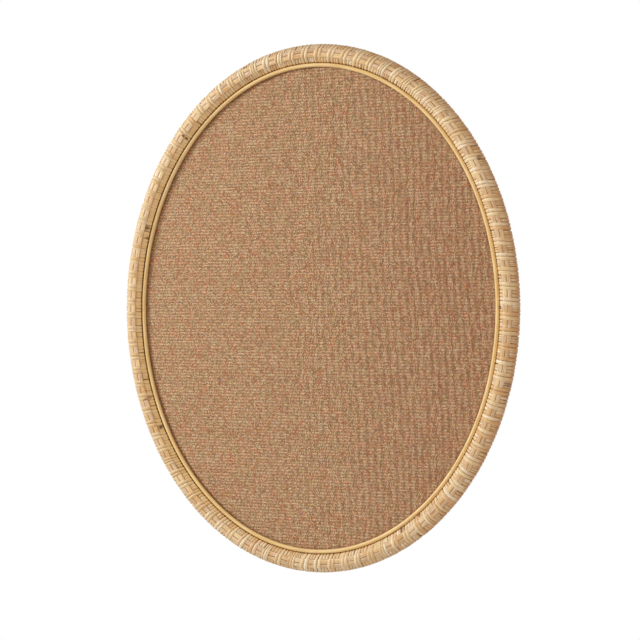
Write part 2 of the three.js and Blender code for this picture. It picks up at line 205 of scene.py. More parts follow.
def move(piece, test, way):
    """Moves the corners that pass the test."""
    in_edit_mode(piece, test)
    bpy.ops.transform.translate(value=way)
    out_of_edit_mode()


# Working on whole pieces

def apply_modifiers(piece):
    select_only(piece)
    for modifier in list(piece.modifiers):
        bpy.ops.object.modifier_apply(modifier=modifier.name)


def apply_place(piece):
    """Puts a piece's place, turn and scale into its mesh."""
    select_only(piece)
    bpy.ops.object.transform_apply(location=True, rotation=True, scale=True)


def smooth(piece, degrees):
    """Shades a piece smooth, apart from edges sharper than the angle."""
    select_only(piece)
    bpy.ops.object.shade_smooth_by_angle(angle=math.radians(degrees))


def cover(piece, skin):
    """Gives a piece one material."""
    piece.data.materials.clear()
    piece.data.materials.append(skin)


def join(pieces, name):
    deselect_all()
    for piece in pieces:
        piece.select_set(True)
    bpy.context.view_layer.objects.active = pieces[0]
    bpy.ops.object.join()
    joined = bpy.context.object
    joined.name = name
    return joined


def repeat_along(piece, count, uv_step):
    """Lays copies of a piece end to end, each a step further in its UV map."""
    repeat = piece.modifiers.new("repeat", "ARRAY")
    repeat.count = count
    repeat.use_merge_vertices = True
    repeat.merge_threshold = SEAM
    repeat.offset_u = uv_step
    apply_modifiers(piece)


def uv_map(mesh):
    layer = mesh.uv_layers[0] if mesh.uv_layers else mesh.uv_layers.new(name="UVMap")
    layer.name = "UVMap"
    return layer.data


def places_round(mesh):
    """For each corner of each face: its number, its place, and its angle round +X as a share of a full turn.
    Inside one face the angle has no jump."""
    for face in mesh.polygons:
        middle = math.atan2(face.center.y, face.center.z)
        for i in face.loop_indices:
            place = mesh.vertices[mesh.loops[i].vertex_index].co
            angle = math.atan2(place.y, place.z)
            angle -= round((angle - middle) / (2 * math.pi)) * 2 * math.pi
            yield i, place, angle / (2 * math.pi)


# Going round the oval

def oval_guide():
    """The ring's centre line as a flat curve, clockwise as seen from the front."""
    deselect_all()
    bpy.ops.curve.primitive_bezier_circle_add(radius=1)
    curve = bpy.context.object
    curve.name = "ring_line"
    curve.scale = (RING_HALF_WIDTH, RING_HALF_HEIGHT, 1)
    bpy.ops.object.transform_apply(scale=True)
    curve.data.dimensions = "2D"
    curve.data.resolution_u = 128
    curve.data.use_radius = False
    return curve


guide = oval_guide()
RING_LENGTH = guide.data.splines[0].calc_length(resolution=256)
PITCH = RING_LENGTH / PITCH_COUNT


def angle_at(share):
    """The ellipse's own angle from the top at a share of the way round the ring."""
    step = 2 * math.pi / ANGLE_STEPS
    walked = 0.0
    for i in range(ANGLE_STEPS):
        middle = (i + 0.5) * step
        walked += math.hypot(RING_HALF_WIDTH * math.cos(middle), RING_HALF_HEIGHT * math.sin(middle)) * step
        if walked >= share * RING_LENGTH:
            return middle
    return 2 * math.pi


def bend_round_oval(piece):
    """Bends a straight piece round the ring and stands it up in its place. Its x is the way from the top."""
    piece.location.x += RING_LENGTH / 2
    apply_place(piece)
    bend = piece.modifiers.new("bend", "CURVE")
    bend.object = guide
    bend.deform_axis = "POS_X"
    apply_modifiers(piece)
    piece.rotation_euler = (math.pi / 2, 0, 0)
    piece.location = RING_CENTRE
    apply_place(piece)


# Finishes

class Value:
    """A socket that a finish's nodes give. Arithmetic on values adds the Math nodes for it."""

    def __init__(self, finish, socket):
        self.finish = finish
        self.socket = socket

    def maths(self, operation, *values):
        return self.finish.node("ShaderNodeMath", {"operation": operation}, dict(enumerate(values)))

    def __add__(self, other):
        return self.maths("ADD", self, other)

    def __radd__(self, other):
        return self.maths("ADD", other, self)

    def __sub__(self, other):
        return self.maths("SUBTRACT", self, other)

    def __rsub__(self, other):
        return self.maths("SUBTRACT", other, self)

    def __neg__(self):
        return 0.0 - self

    def __mul__(self, other):
        return self.maths("MULTIPLY", self, other)

    def __rmul__(self, other):
        return self.maths("MULTIPLY", other, self)

    def __truediv__(self, other):
        return self.maths("DIVIDE", self, other)

    def __rtruediv__(self, other):
        return self.maths("DIVIDE", other, self)

    def floor(self):
        return self.maths("FLOOR", self)

    def fraction(self):
        return self.maths("FRACT", self)

    def absolute(self):
        return self.maths("ABSOLUTE", self)

    def sine(self):
        return self.maths("SINE", self)

    def above(self, limit):
        return self.maths("GREATER_THAN", self, limit)

    def ramp(self, low, high):
        """0 below low and 1 above high, with a soft step between."""
        settings = {"interpolation_type": "SMOOTHSTEP"}
        inputs = {"Value": self, "From Min": low, "From Max": high}
        return self.finish.node("ShaderNodeMapRange", settings, inputs)


class Finish:
    """A procedural material that ends in one Principled shader."""

    def __init__(self, name, roughness, metallic=0.0, specular=0.5):
        self.material = bpy.data.materials.new(name)
        self.material.use_nodes = True
        self.tree = self.material.node_tree
        self.tree.nodes.clear()
        self.shader = self.tree.nodes.new("ShaderNodeBsdfPrincipled")
        self.shader.inputs["Roughness"].default_value = roughness
        self.shader.inputs["Metallic"].default_value = metallic
        self.shader.inputs["Specular IOR Level"].default_value = specular
        surface = self.tree.nodes.new("ShaderNodeOutputMaterial")
        self.tree.links.new(self.shader.outputs["BSDF"], surface.inputs["Surface"])

    def node(self, kind, settings, inputs, output=0):
        """Adds a node: its type, its settings, its sockets' values or links, and the output that it gives."""
        made = self.tree.nodes.new(kind)
        for setting, value in settings.items():
            setattr(made, setting, value)
        for socket, value in inputs.items():
            if isinstance(value, Value):
                self.tree.links.new(value.socket, made.inputs[socket])
            else:
                made.inputs[socket].default_value = value
        return Value(self, made.outputs[output])

    def object_place(self):
        return self.node("ShaderNodeTexCoord", {}, {}, "Object")

    def place(self):
        """Object coordinates as x, y and z."""
        return self.parts(self.object_place())

    def along_piece(self):
        """The UV map as its two numbers."""
        return self.parts(self.node("ShaderNodeUVMap", {"uv_map": "UVMap"}, {}))[:2]

    def parts(self, vector):
        split = self.node("ShaderNodeSeparateXYZ", {}, {"Vector": vector}).socket.node
        return [Value(self, socket) for socket in split.outputs]

    def vector(self, x, y, z=0.0):
        return self.node("ShaderNodeCombineXYZ", {}, {"X": x, "Y": y, "Z": z})

    def noise(self, place, detail, roughness):
        """Cloudy noise with one cloud to a unit. The place is two or three numbers."""
        inputs = {"Vector": self.vector(*place), "Scale": 1.0, "Detail": detail, "Roughness": roughness}
        return self.node("ShaderNodeTexNoise", {"noise_dimensions": "3D"}, inputs)

    def chance(self, number):
        """A number from 0 to 1 that is the same wherever the given number is."""
        return self.node("ShaderNodeTexWhiteNoise", {"noise_dimensions": "1D"}, {"W": number})

    def chance_at(self, x, y):
        """A number from 0 to 1 that is the same wherever both given numbers are."""
        inputs = {"Vector": self.vector(x, y)}
        return self.node("ShaderNodeTexWhiteNoise", {"noise_dimensions": "2D"}, inputs)

    def mix(self, share, first, second):
        """A colour between two colours. Colours are given as they look on screen."""
        inputs = {0: share, 6: as_colour(first), 7: as_colour(second)}
        return self.node("ShaderNodeMix", {"data_type": "RGBA"}, inputs, 2)

    def paint(self, colour, roughness, height, depth):
        """Links what varies over the surface to the shader. Where no roughness is given, it stays even."""
        self.tree.links.new(colour.socket, self.shader.inputs["Base Color"])
        if roughness is not None:
            self.tree.links.new(roughness.socket, self.shader.inputs["Roughness"])
        bump = self.node("ShaderNodeBump", {}, {"Height": height, "Distance": depth, "Strength": 1.0})
        self.tree.links.new(bump.socket, self.shader.inputs["Normal"])
        return self.material


def as_colour(colour):
    """A screen colour of three numbers up to 255 as a linear colour, or a value as it is."""
    if isinstance(colour, Value):
        return colour
    linear = []
    for level in colour:
        share = level / 255
        linear.append(share / 12.92 if share <= 0.04045 else ((share + 0.055) / 1.055) ** 2.4)
    return (*linear, 1.0)


def mark_at(x, z, share, outward, radius, strength):
    """A round mark on the ring: its strength in its middle, and 0 from its radius on."""
    angle = angle_at(share)
    across_x = x - (RING_HALF_WIDTH + outward) * math.sin(angle)
    across_z = z - RING_CENTRE[2] - (RING_HALF_HEIGHT + outward) * math.cos(angle)
    return (across_x * across_x + across_z * across_z).ramp(radius * radius, 0.0) * strength


def cane_skin():
    """Split cane: each turn has its own tone, with pale streaks along it, partly a painted highlight, and
    brown edges with painted shade in the gaps. Painted shade tones down the board's lit left and darkens its
    right, painted light brightens the side towards the bead, and a painted shadow darkens the groove beside
    the bead, most at the left."""
    finish = Finish("cane_skin", roughness=0.42, specular=0.3)
    x, _, z = finish.place()
    # Weights of the painted light and shade of the board's left and right side
    leftward = (-x).ramp(*SIDE_FADE)
    rightward = x.ramp(*SIDE_FADE)
    along, across = finish.along_piece()
    inward = 0.5 - along
    outward = along - 0.5
    turn = across.floor()
    edge = (across.fraction() - 0.5).absolute()

    tone = finish.chance(turn + 0.37)
    hue = finish.chance(turn * 1.7 + 40.1)
    wear = finish.chance(turn * 2.3 + 11.7)
    grain = finish.noise((along * 4.0, across * 3.6), 3.0, 0.65)
    fibre = finish.noise((along * 6.0 + 31.0, across * 10.0), 2.0, 0.6)
    cloud = finish.noise((along * 5.0, turn * 7.3), 1.0, 0.5)
    straw = finish.mix(hue.ramp(0.3, 1.0), (232, 208, 162), (218, 176, 122))
    pale = finish.mix(tone.ramp(0.55, 1.0) * 0.7, straw, (248, 238, 212))
    tanned = finish.mix((grain * 1.3 + cloud * 0.8).ramp(1.0, 1.45) * 0.8, pale, (204, 158, 104))
    # Pale streaks of the fibre, partly a painted highlight
    streaked = finish.mix(fibre.ramp(0.46, 0.3) * 0.8, tanned, (252, 244, 224))
    lined = finish.mix(fibre.ramp(0.54, 0.72) * 0.6, streaked, (176, 128, 80))
    # Brown edges of each turn, with painted shade in the gaps between turns, more at the board's right and
    # less at its left
    rim = edge.ramp(0.38, 0.5) * (wear * 0.6 + 0.3) * (rightward * 0.35 - leftward * 0.6 + 1.0)
    edges_and_gap_shade = finish.mix(rim, lined, (118, 72, 38))

    # Painted shade on the board's lit left side, painted light on the ring's side towards the bead and, at
    # the left,
    #     where the under turns come out from the splints, the outer side browner by a random amount for each
    #     turn and with painted shade growing towards the right, and painted shade on the outer half at the
    #     left
    left_painted_shade = finish.mix(leftward * 0.4, edges_and_gap_shade, (212, 174, 120))
    bead_side_painted_light = finish.mix(inward.ramp(0.12, 0.19) * 0.5, left_painted_shade, (250, 196, 132))
    left_painted_light_by_splints = finish.mix(inward.ramp(0.07, 0.1) * leftward * 0.6, bead_side_painted_light, (255, 226, 166))
    outer_brown_and_shade = wear * 0.3 + 0.25 + rightward * 0.25
    outer_browned_and_shaded = finish.mix(outward.ramp(0.08, 0.2) * outer_brown_and_shade, left_painted_light_by_splints, (190, 138, 88))
    left_outer_painted_shade = finish.mix(outward.ramp(-0.06, 0.02) * leftward * 0.5, outer_browned_and_shaded, (198, 170, 124))

    # Painted shadow in the groove beside the bead and in the gaps between turns in it, strongest at the left
    # and none
    #     at the right, and the brown marks
    groove = inward.ramp(0.166, 0.176) * (leftward * 0.4 - rightward * 0.5 + 0.5)
    shaded = finish.mix(groove, left_outer_painted_shade, (100, 52, 26))
    gap = inward.ramp(0.164, 0.178) * edge.ramp(0.2, 0.42) * (0.5 - rightward * 0.5)
    parted = finish.mix(gap, shaded, (72, 38, 20))
    marks = [mark_at(x, z, *stain) for stain in STAINS]
    colour = finish.mix(sum(marks[1:], marks[0]) * (grain * 1.6), parted, (100, 52, 24))
    return finish.paint(colour, grain * 0.25 + 0.32, fibre + grain, 0.00012)


def splint_skin(name, light, dark, other):
    """A flat splint with straight grain, a tone of its own in each window, pale streaks, partly a painted
    highlight, and brown edges.
    """
    finish = Finish(name, roughness=0.5, specular=0.3)
    along, across = finish.along_piece()
    window = along.floor()
    tone = finish.chance(window + 0.61)
    hue = finish.chance(window * 1.3 + 7.2)
    grain = finish.noise((along * 0.9, across * 2.4), 3.0, 0.6)
    fibre = finish.noise((along * 1.4 + 17.0, across * 7.0), 2.0, 0.6)
    body = finish.mix((tone * 0.6 + grain * 0.8).ramp(0.25, 1.05), light, dark)
    varied = finish.mix((hue * 0.5 + grain * 0.6).ramp(0.45, 0.85) * 0.8, body, other)
    # Pale streaks along the grain, partly a painted highlight
    streaked = finish.mix(fibre.ramp(0.46, 0.32) * 0.8, varied, (250, 240, 220))
    lined = finish.mix(fibre.ramp(0.56, 0.7) * 0.6, streaked, (160, 112, 70))
    edge = (across - 0.5).absolute().ramp(0.38, 0.5)
    colour = finish.mix(edge * 0.5, lined, (136, 84, 46))
    return finish.paint(colour, grain * 0.2 + 0.4, fibre + grain, 0.0001)


def reed_skin():
    """Smooth round reed: long faint streaks on an even cream, with painted light on the side towards the
    cane.
    """
    finish = Finish("reed_skin", roughness=0.42)
    along, across = finish.along_piece()
    streak = finish.noise((along * 0.35, across * 14.0), 3.0, 0.6)
    cloud = finish.noise((along * 0.12, 0.0), 2.0, 0.5)
    body = finish.mix(streak.ramp(0.3, 0.75), (240, 212, 150), (218, 178, 112))
    clouded = finish.mix(cloud.ramp(0.45, 0.75) * 0.4, body, (240, 214, 170))
    # Painted light on the side towards the cane
    outward = (across - 0.8).absolute().ramp(0.14, 0.05)
    colour = finish.mix(outward * 0.7, clouded, (255, 228, 176))
    return finish.paint(colour, streak * 0.2 + 0.33, streak, 0.0001)


def woven_cloth():
    """Coarse tweed-like weave: speckled rust and khaki threads with slubs, soft upright stripes, bands of
    darker weft, and painted shade at the threads' sides. Painted shade makes it redder and darker towards the
    board's right, and a painted shadow darkens it along the bead, most at the left."""
    finish = Finish("woven_cloth", roughness=0.9, specular=0.2)
    x, _, z = finish.place()
    # Weight of the painted shade and of the stronger slubs towards the board's right
    rightward = x.ramp(-0.24, 0.26)

    # Threads: which warp and weft a place is on, how near their sides, and which of the two lies over
    wander = finish.noise((x * 30.0, 0.0, z * 30.0), 1.0, 0.5) * 0.12
    warp_way = x / WARP_PITCH + wander
    weft_way = z / WEFT_PITCH + wander
    warp = warp_way.floor()
    weft = weft_way.floor()
    warp_side = (warp_way.fraction() - 0.5).absolute() * 2.0
    weft_side = (weft_way.fraction() - 0.5).absolute() * 2.0
    over = ((warp + weft) * 0.5).fraction().above(0.25)
    round_side = over * (warp_side * warp_side) + (1 - over) * (weft_side * weft_side)
    ply = finish.noise((x * FIBRES, 0.0, z * FIBRES), 2.0, 0.6)

    # Their colours
    speck = finish.chance_at(warp, weft)
    hue = finish.chance_at(warp + 0.5, (weft * 0.5).floor() + 0.3)
    tint = finish.noise((warp * 1.7, 5.0, z * 60.0), 1.0, 0.5)
    thread = finish.mix((hue * 0.4 + tint * 1.4).ramp(0.6, 1.2), (194, 174, 106), (232, 128, 76))
    cool = finish.mix((speck * 7.3).fraction().ramp(0.5, 0.9) * 0.8, thread, (196, 162, 146))
    dark = finish.mix(speck.ramp(0.48, 0.0) * 0.68, cool, (66, 38, 18))
    light = finish.mix(speck.ramp(0.48, 0.95) * 0.64, dark, (255, 238, 200))

    # Slubs, stronger towards the right, and stripes, then bands, then painted shade that darkens and reddens
    # the right
    drift = finish.noise((x * 5.0, 9.0, z * 5.0), 1.0, 0.5)
    stripe = ((x + z * 0.06 + drift * 0.02) * (2 * math.pi / STRIPE_PITCH)).sine()
    uneven = finish.noise((warp * 1.7, 0.0, z * 60.0), 1.0, 0.5)
    slub = uneven * 0.7 + 0.15 + stripe * (x.ramp(-0.2, 0.1) * 0.075)
    streaked = finish.mix(slub.ramp(0.48, 0.62) * (rightward * 0.4 + 0.12), light, (96, 54, 34))
    paler = finish.mix(slub.ramp(0.46, 0.34) * (rightward * 0.26 + 0.14), streaked, (246, 222, 188))
    band = (weft_way * (2 * math.pi / WEFTS_PER_BAND)).sine() * 0.5 + 0.5
    banded = finish.mix(band * (0.56 - rightward * 0.08), paler, (126, 80, 50))
    right_painted_shade = finish.mix(x.ramp(0.0, 0.26) * 0.15, banded, (142, 56, 30))
    fuzzed = finish.mix(ply.ramp(0.4, 0.65) * 0.3, right_painted_shade, (248, 220, 180))
    # Painted shade at the sides of the threads
    woven = finish.mix(round_side * 0.5, fuzzed, (84, 48, 28))

    # Painted shadow along the bead, strongest at the left
    across_width = x / (RING_HALF_WIDTH - BEAD_INSET - BEAD_RADIUS)
    across_height = (z - RING_CENTRE[2]) / (RING_HALF_HEIGHT - BEAD_INSET - BEAD_RADIUS)
    edge = (across_width * across_width + across_height * across_height).ramp(0.972, 0.998)
    colour = finish.mix(edge * ((-x).ramp(-0.1, 0.2) * 0.3 + 0.15), woven, (96, 40, 22))
    return finish.paint(colour, None, ply * 0.4 - round_side, 0.00025)


def sawn_wood(name, light, dark):
    """Bare sawn wood with its grain across the board."""
    finish = Finish(name, roughness=0.75, specular=0.3)
    x, y, z = finish.place()
    bend = finish.noise((x * 9.0, y * 9.0, z * 9.0), 2.0, 0.5)
    rings = ((x * 12.0 + y * 260.0 + bend * 9.0) * 2.0).sine() * 0.5 + 0.5
    fibre = finish.noise((x * 60.0, y * 2400.0, z * 2400.0), 2.0, 0.6)
    colour = finish.mix((rings * 0.6 + fibre * 0.5).ramp(0.2, 1.0), light, dark)
    return finish.paint(colour, fibre * 0.2 + 0.6, fibre, 0.0001)


def ground_cork():
    """Granules of cork, each with its own tone."""
    finish = Finish("ground_cork", roughness=0.9, specular=0.2)
    inputs = {"Vector": finish.object_place(), "Scale": GRANULES}
    tone = finish.parts(finish.node("ShaderNodeTexVoronoi", {}, inputs, "Color"))[0]
    edge = finish.node("ShaderNodeTexVoronoi", {"feature": "DISTANCE_TO_EDGE"}, inputs)
    body = finish.mix(tone, (201, 158, 106), (150, 104, 62))
    colour = finish.mix(1 - edge.ramp(0.02, 0.12), body, (98, 64, 38))
    return finish.paint(colour, None, edge, 0.0003)


def thin_plywood():
    """Plywood with upright face grain and a few darker streaks."""
    finish = Finish("thin_plywood", roughness=0.7, specular=0.3)
    x, y, z = finish.place()
    drift = finish.noise((x * 6.0, 0.0, z * 1.6), 2.0, 0.5)
    figure = ((x * 55.0 + drift * 5.0) * 3.0).sine() * 0.5 + 0.5
    fibre = finish.noise((x * 1600.0, y * 600.0, z * 28.0), 3.0, 0.6)
    pores = finish.noise((x * FIBRES, 4.0, z * 130.0), 1.0, 0.5)
    body = finish.mix((figure * 0.25 + fibre * 0.85).ramp(0.15, 1.05), (214, 190, 150), (180, 146, 102))
    colour = finish.mix(pores.ramp(0.62, 0.75) * 0.5, body, (128, 96, 62))
    return finish.paint(colour, fibre * 0.2 + 0.55, fibre - pores, 0.00008)


def plated_steel(name, colour, roughness):
    """Plated steel with faint rolling marks and duller patches."""
    finish = Finish(name, roughness, metallic=1.0)
    x, y, z = finish.place()
    marks = finish.noise((x * 3000.0, y * 900.0, z * 160.0), 2.0, 0.6)
    patch = finish.noise((x * 260.0, y * 260.0, z * 260.0), 2.0, 0.5)
    shade = tuple(level * 0.8 for level in colour)
    body = finish.mix((patch * 0.7 + marks * 0.3).ramp(0.3, 0.75), colour, shade)
    return finish.paint(body, patch * 0.2 + (roughness - 0.1), marks, 0.00003)


def pressed_felt():
    """Brown felt with matted fibres."""
    finish = Finish("pressed_felt", roughness=0.95, specular=0.15)
    x, y, z = finish.place()
    fibre = finish.noise((x * FIBRES, y * FIBRES, z * FIBRES), 3.0, 0.7)
    cloud = finish.noise((x * 300.0, y * 300.0, z * 300.0), 2.0, 0.5)
    colour = finish.mix((fibre * 0.8 + cloud * 0.3).ramp(0.3, 0.85), (88, 72, 56), (134, 112, 90))
    return finish.paint(colour, None, fibre, 0.0004)


# Cane binding

def lean_from_front(place):
    """The angle of a place of a turn's section from the splints' direction, and its height that way."""
    height = place.z * math.cos(SEAT_LEAN) + place.y * math.sin(SEAT_LEAN)
    across = place.y * math.cos(SEAT_LEAN) - place.z * math.sin(SEAT_LEAN)
    return math.atan2(across, height), height


def raise_front(piece, inner, outer, to_height):
    """Moves the corners between two angles from the splints' direction to a height over the ring's centre."""
    def near(place):
        angle, _ = lean_from_front(place)
        return inner < abs(angle) < outer

    heights = [lean_from_front(corner.co)[1] for corner in piece.data.vertices if near(corner.co)]
    lift = to_height - sum(heights) / len(heights)
    move(piece, near, (0, lift * math.sin(SEAT_LEAN), lift * math.cos(SEAT_LEAN)))


def turn_of_cane(name, section):
    """One turn of cane round the ring: a crowned strip, closed on itself, flat at the back. Its UV map runs
    round the section from the back, and across the strip."""
    low = CREST - STRIP_THICKNESS
    share = low / CREST
    half = STRIP_WIDTH / 2
    edge = STRIP_WIDTH * STRIP_SHOULDER
    step = 2 * math.pi / SECTION_SIDES
    to_seat = step / 2 - SEAT_LEAN
    deselect_all()
    bpy.ops.mesh.primitive_circle_add(vertices=SECTION_SIDES, radius=low, rotation=(0, 0, to_seat))
    piece = bpy.context.object
    piece.name = name
    apply_place(piece)
    piece.rotation_euler = (math.pi / 2, 0, math.pi / 2)
    piece.location = (-half, 0, 0)
    apply_place(piece)

    for i, height in enumerate(section):
        raise_front(piece, i * step, (i + 1) * step, height * share)
    in_edit_mode(piece, lambda place: place.z < -FLAT_BACK * share)
    bpy.ops.transform.resize(value=(1, 1, 0), center_override=(0, 0, -FLAT_BACK * share))
    bpy.ops.mesh.select_all(action="SELECT")
    bpy.ops.mesh.extrude_region_move(TRANSFORM_OT_translate={"value": (edge, 0, 0)})
    bpy.ops.transform.resize(value=(1, 1 / share, 1 / share), center_override=(0, 0, 0))
    bpy.ops.mesh.extrude_region_move(TRANSFORM_OT_translate={"value": (STRIP_WIDTH - 2 * edge, 0, 0)})
    bpy.ops.mesh.extrude_region_move(TRANSFORM_OT_translate={"value": (edge, 0, 0)})
    bpy.ops.transform.resize(value=(1, share, share), center_override=(0, 0, 0))
    out_of_edit_mode()

    in_edit_mode(piece, lambda start, end: min(abs(start.x), abs(end.x)) > half * 0.99, "EDGE")
    bpy.ops.mesh.bridge_edge_loops()
    bpy.ops.mesh.select_all(action="SELECT")
    bpy.ops.mesh.normals_make_consistent(inside=False)
    out_of_edit_mode()
    smooth(piece, 60)
    uvs = uv_map(piece.data)
    for i, place, angle in places_round(piece.data):
        uvs[i].uv = (angle + 0.5, place.x / STRIP_WIDTH * STRIP_UV_SHARE + 0.5)
    return piece


def wind(master, number, way, width, slant, size, tilt):
    """A copy of a turn at its place along the straight ring, numbered in its UV map."""
    mesh = master.data.copy()
    places = np.empty(len(mesh.vertices) * 3)
    mesh.vertices.foreach_get("co", places)
    places = places.reshape(-1, 3)
    places[:, 0] = way + places[:, 0] * width + places[:, 1] * slant + places[:, 2] * tilt
    places[:, 1:] *= size
    mesh.vertices.foreach_set("co", places.ravel())
    layer = mesh.uv_layers["UVMap"]
    uvs = np.empty(len(mesh.loops) * 2)
    layer.data.foreach_get("uv", uvs)
    uvs[1::2] += number
    layer.data.foreach_set("uv", uvs)
    piece = bpy.data.objects.new(f"{master.name}_{number}", mesh)
    bpy.context.collection.objects.link(piece)
    return piece


def slant_at(share):
    """The turns' slant at a share of the way round the ring."""
    step = share * len(SLANTS)
    before = int(step)
    part = step - before
    return SLANTS[before % len(SLANTS)] * (1 - part) + SLANTS[(before + 1) % len(SLANTS)] * part


def bind_ring(skin):
    """Winds the lengths of cane: in each pitch two or three turns under the splints, then as many over."""
    chance = random.Random(WINDING_SEED)
    over = turn_of_cane("over_turn", OVER_SECTION)
    under = turn_of_cane("under_turn", UNDER_SECTION)
    number = 0
    for length in range(WRAP_COUNT):
        turns = []
        for pitch in range(length * PITCH_COUNT // WRAP_COUNT, (length + 1) * PITCH_COUNT // WRAP_COUNT):
            slant = slant_at(pitch / PITCH_COUNT) + chance.gauss(0, PITCH_SLANT_SPREAD)
            middle = pitch * PITCH + chance.gauss(0, MIDDLE_SPREAD)
            over_share = OVER_SHARE + chance.gauss(0, SHARE_SPREAD)
            under_group = (under, middle, PITCH * (1 - over_share), UNDER_COUNTS)
            over_group = (over, middle + PITCH / 2, PITCH * over_share, OVER_COUNTS)
            for master, centre, room, counts in (under_group, over_group):
                count = chance.choice(counts)
                for i in range(count):
                    way = centre + ((i + 0.5) / count - 0.5) * room
                    width = room / count / STRIP_WIDTH * chance.uniform(*WIDTH_RANGE)
                    own_slant = slant + chance.gauss(0, TURN_SLANT_SPREAD)
                    size = chance.uniform(*SIZE_RANGE)
                    tilt = chance.gauss(0, TILT_SPREAD)
                    turns.append(wind(master, number, way, width, own_slant, size, tilt))
                    number += 1
        piece = join(turns, f"cane_turns_{length + 1:02d}")
        bend_round_oval(piece)
        cover(piece, skin)
        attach(piece, "board")
        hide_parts(f"cane_wrap_{length + 1:02d}")
    for master in (over, under):
        bpy.data.objects.remove(master)


# Splints

def splint_in_one_pitch(name, middle, width):
    """One pitch of a splint, bent a little over its curve. It is open at its ends, where it dips. Its UV map
    runs along the pitch, and across the splint."""
    deselect_all()
    bpy.ops.mesh.primitive_cube_add(
        size=1, scale=(PITCH, width, SPLINT_THICKNESS),
        location=(0, middle, SPLINT_FOOT + SPLINT_THICKNESS / 2),
    )
    piece = bpy.context.object
    piece.name = name
    apply_place(piece)
    in_edit_mode(piece, lambda start, end: abs(start.x - end.x) > PITCH / 2, "EDGE")
    bpy.ops.mesh.subdivide(number_cuts=3)
    out_of_edit_mode()
    in_edit_mode(piece, lambda start, end: abs(start.y - end.y) > width / 2, "EDGE")
    bpy.ops.mesh.subdivide(number_cuts=1)
    out_of_edit_mode()
    far = width + SPLINT_GAP
    for reach in (far, far / 2):
        drop = reach * reach / SPLINT_CURVE
        move(piece, lambda place: abs(abs(place.y) - reach) < width / 8, (0, 0, -drop))
    in_edit_mode(piece, lambda normal: abs(normal.x) > 0.9, "FACE")
    bpy.ops.mesh.delete(type="ONLY_FACE")
    out_of_edit_mode()

    bevel = piece.modifiers.new("rounding", "BEVEL")
    bevel.width = SPLINT_ROUNDING
    bevel.segments = 2
    bevel.limit_method = "ANGLE"
    apply_modifiers(piece)
    move(piece, lambda place: abs(place.x) > PITCH * 0.4, (0, 0, -SPLINT_DIP))
    move(piece, lambda place: abs(place.x) < PITCH * 0.1, (0, 0, SPLINT_RISE))

    mesh = piece.data
    uvs = uv_map(mesh)
    for loop in mesh.loops:
        place = mesh.vertices[loop.vertex_index].co
        uvs[loop.index].uv = (place.x / PITCH + 0.5, (place.y - middle) / width + 0.5)
    return piece


def lay_splint(name, inner_edge, width, skin, node):
    """A splint once round the ring."""
    piece = splint_in_one_pitch(name, inner_edge + width / 2, width)
    piece.rotation_euler = (-SEAT_LEAN, 0, 0)
    apply_place(piece)
    repeat_along(piece, PITCH_COUNT, 1)
    bend_round_oval(piece)
    in_edit_mode(piece, everywhere)
    bpy.ops.mesh.remove_doubles(threshold=BENT_SEAM)
    bpy.ops.mesh.normals_make_consistent(inside=False)
    out_of_edit_mode()
    smooth(piece, 60)
    cover(piece, skin)
    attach(piece, "board")
    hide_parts(node)


# Bead

def bend_bead(number, skin):
    """A length of the round reed between two of its joints, bent round inside the binding. Its UV map runs
    along the reed, and round it."""
    joint = number % len(BEAD_JOINTS)
    start = BEAD_JOINTS[number - 1] * RING_LENGTH + BEAD_GAPS[number - 1] / 2
    end = (BEAD_JOINTS[joint] + (joint == 0)) * RING_LENGTH - BEAD_GAPS[joint] / 2
    segments = round((end - start) / RING_LENGTH * BEAD_STEPS)
    step = (end - start) / segments
    deselect_all()
    bpy.ops.mesh.primitive_cylinder_add(
        vertices=BEAD_SIDES, radius=BEAD_RADIUS, depth=step, end_fill_type="NOTHING",
        rotation=(0, math.pi / 2, 0),
    )
    piece = bpy.context.object
    piece.name = f"reed_bead_{number}"
    apply_place(piece)
    uvs = uv_map(piece.data)
    for i, place, angle in places_round(piece.data):
        uvs[i].uv = (place.x / step + 0.5, angle + 0.5)
    repeat_along(piece, segments, 1)

    ways = [corner.co.x for corner in piece.data.vertices]
    for tip in (min(ways), max(ways)):
        in_edit_mode(piece, lambda place: abs(place.x - tip) < step / 4)
        bpy.ops.mesh.edge_face_add()
        bpy.ops.mesh.inset(thickness=BEAD_END_ROUNDING, depth=BEAD_END_SWELL)
        out_of_edit_mode()
    in_edit_mode(piece, everywhere)
    bpy.ops.mesh.normals_make_consistent(inside=False)
    out_of_edit_mode()
    piece.location = (start + step / 2, -BEAD_INSET, BEAD_FORWARD)
    bend_round_oval(piece)
    smooth(piece, 50)
    cover(piece, skin)
    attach(piece, "board")
    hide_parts(f"edge_bead_{number}")


# Cloth

